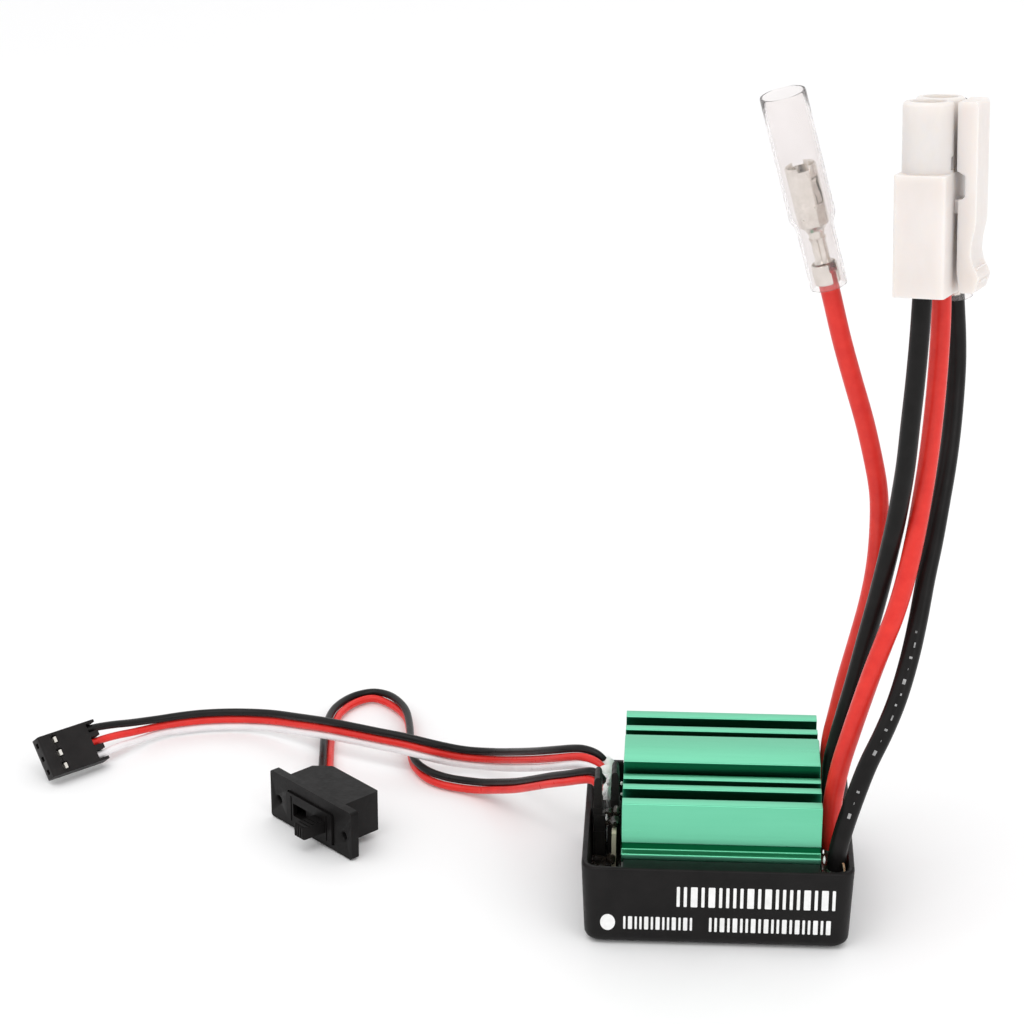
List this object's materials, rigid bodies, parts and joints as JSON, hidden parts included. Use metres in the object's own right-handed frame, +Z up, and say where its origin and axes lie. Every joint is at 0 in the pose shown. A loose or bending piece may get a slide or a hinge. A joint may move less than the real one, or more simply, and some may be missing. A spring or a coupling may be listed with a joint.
{
  "type": "electronic speed controller",
  "caption": "Brushed-motor speed controller: finned heatsink on a black tub, power leads with a battery plug and bullets, a receiver lead and a slide switch on a cable.",
  "frame": {"origin": "centre of the tub's underside, on the table", "axes": "+X along the heatsink's fins towards the power leads, +Y towards the back, away from the face with the marks, +Z up"},
  "size_m": [0.1341, 0.0736, 0.1135],
  "materials": {
    "tub_black": "satin moulded",
    "sink_green": "green anodised, fine extrusion lines",
    "pad_grey": "matt",
    "chip_black": "matt moulded",
    "board_green": "solder mask",
    "board_edge": "bare laminate edge",
    "can_metal": "satin",
    "gilt": "gold plated",
    "header_black": "matt moulded",
    "cap_black": "satin moulded",
    "sealant_white": "cured silicone",
    "potting_black": "cured resin with smears",
    "solder": "frosted",
    "lead_black": "satin wire jacket",
    "lead_red": "satin wire jacket",
    "wire_black": "gloss wire jacket",
    "wire_red": "gloss wire jacket",
    "wire_white": "gloss wire jacket",
    "plug_black": "satin moulded",
    "tin": "bright tin plate",
    "switch_black": "satin moulded",
    "nylon": "natural nylon, slightly translucent",
    "clear_vinyl": "clear, slightly ribbed"
  },
  "bodies": {
    "body": {"case": "tub_black", "heatsink": "sink_green", "thermal_pad": "pad_grey", "mosfets": "chip_black", "power_board": "board_green", "board_pins": "gilt", "control_board": "board_green", "microcontroller": "chip_black", "capacitors": "can_metal", "regulators": "chip_black", "daughter_board": "board_edge", "jumper_base": "header_black", "jumper_pins": "gilt", "signal_seal": "sealant_white", "lead_potting": "potting_black", "lead_solder": "solder", "battery_lead_black": "lead_black", "battery_lead_red": "lead_red", "motor_lead_red": "lead_red", "motor_lead_black": "lead_black", "receiver_wire_black": "wire_black", "receiver_wire_red": "wire_red", "receiver_wire_white": "wire_white", "switch_wire_black": "wire_black", "switch_wire_red": "wire_red", "receiver_plug": "plug_black", "receiver_contacts": "tin", "switch_housing": "switch_black", "switch_insert": "switch_black", "switch_terminals": "tin", "battery_plug": "nylon", "battery_terminals": "tin", "motor_bullet_red": "tin", "motor_bullet_black": "tin"},
    "lever": {"switch_lever": "switch_black"},
    "jumper_a": {"jumper_a_cap": "cap_black", "jumper_a_clip": "gilt"},
    "jumper_b": {"jumper_b_cap": "cap_black", "jumper_b_clip": "gilt"},
    "latch": {"battery_latch": "nylon"},
    "sleeve_red": {"motor_sleeve_red": "clear_vinyl"},
    "sleeve_black": {"motor_sleeve_black": "clear_vinyl"}
  },
  "joints": [
    {"name": "switch_slide", "type": "slide", "parent": "body", "child": "lever", "axis": [-0.7071, 0.7071, 0], "range_m": [0, 0.0026]},
    {"name": "jumper_a_pull", "type": "slide", "parent": "body", "child": "jumper_a", "axis": [0, 0, 1], "range_m": [0, 0.008]},
    {"name": "jumper_b_pull", "type": "slide", "parent": "body", "child": "jumper_b", "axis": [0, 0, 1], "range_m": [0, 0.008]},
    {"name": "latch_flex", "type": "hinge", "parent": "body", "child": "latch", "pos_m": [0.0293, 0.00064, 0.09964], "axis": [0.3124, 0.9366, -0.1586], "range_deg": [0, 4], "stiffness_Nm_per_rad": 0.02},
    {"name": "sleeve_red_slide", "type": "slide", "parent": "body", "child": "sleeve_red", "axis": [0.2588, 0, -0.9659], "range_m": [0, 0.006]},
    {"name": "sleeve_black_slide", "type": "slide", "parent": "body", "child": "sleeve_black", "axis": [0.0958, 0, -0.9954], "range_m": [0, 0.006]}
  ]
}
